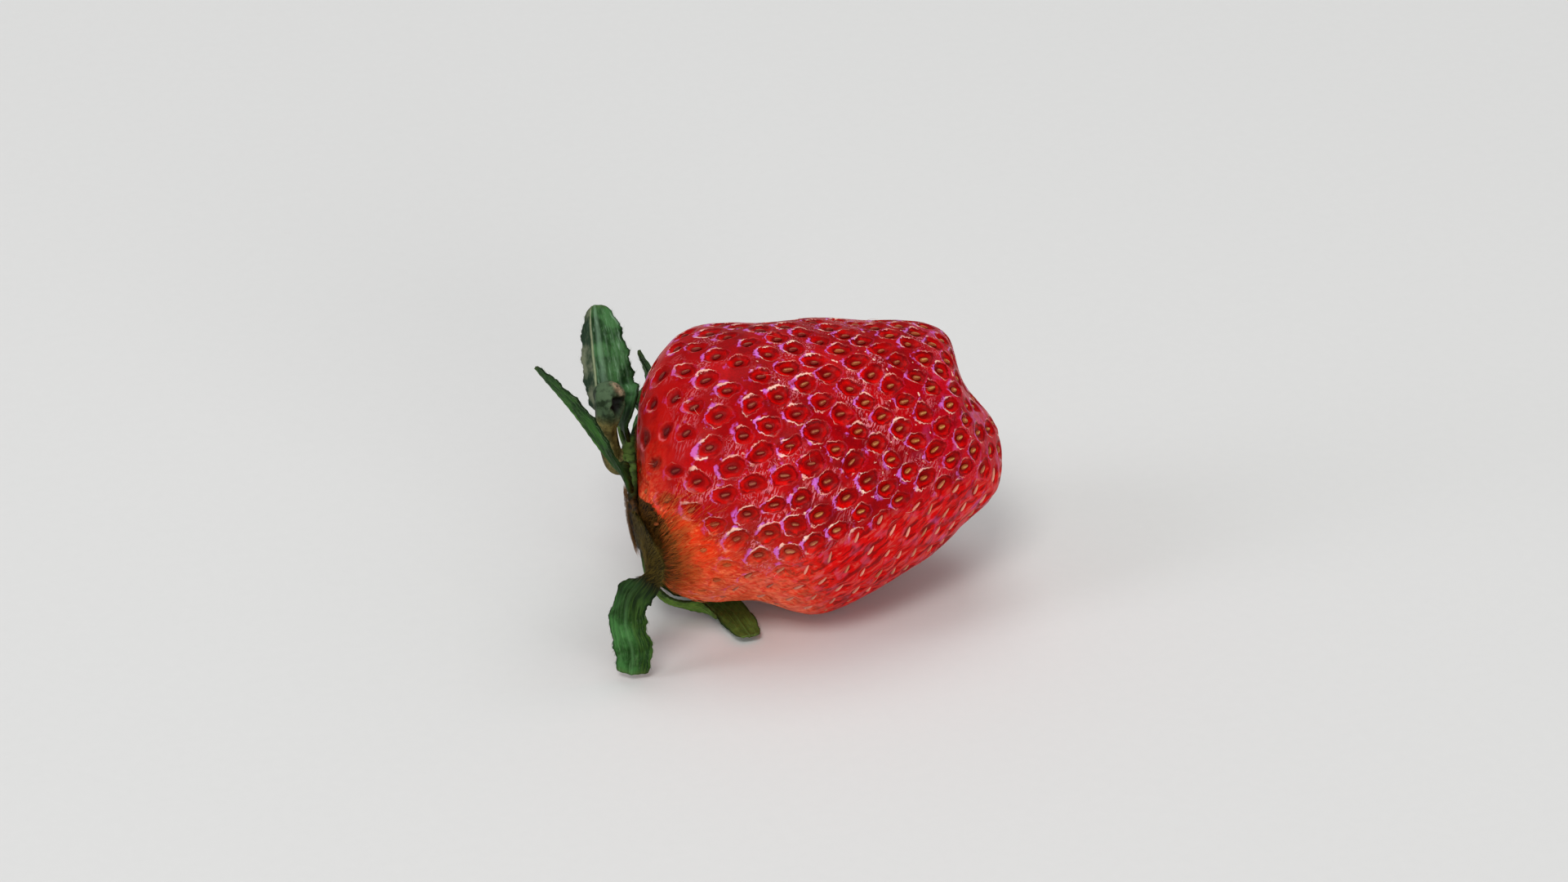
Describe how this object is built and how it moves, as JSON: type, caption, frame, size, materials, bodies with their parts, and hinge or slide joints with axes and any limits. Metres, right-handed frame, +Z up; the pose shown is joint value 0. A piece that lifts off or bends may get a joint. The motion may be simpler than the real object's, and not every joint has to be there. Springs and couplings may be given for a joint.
{
  "type": "strawberry",
  "caption": "Ripe strawberry as picked, lying on its side: a blunt seeded red fruit with a leafy green calyx and a short stub of stem.",
  "frame": {"origin": "middle of the small flat spot of the belly that the berry rests on", "axes": "+X along the berry from the calyx to the tip, +Z up, +Y away from the side that carries the drooping sepal"},
  "size_m": [0.0562, 0.0385, 0.0349],
  "materials": {
    "fruit_skin": null,
    "crown_green": "matte, finely hairy olive green",
    "stem_green": "matte, finely hairy green stalk",
    "leaf_green": "matte, finely hairy and veined leaf",
    "leaf_dark_green": "matte, finely veined leaf, darker"
  },
  "bodies": {
    "root": {"fruit": "fruit_skin", "crown": "crown_green", "stem": "stem_green", "sepal_upper": "leaf_green", "sepal_near": "leaf_green", "sepal_far": "leaf_green", "sepal_lower": "leaf_green", "sepal_under": "leaf_dark_green", "bract_under": "leaf_dark_green", "bract_far_low": "leaf_dark_green", "bract_far_high": "leaf_dark_green"}
  },
  "joints": []
}
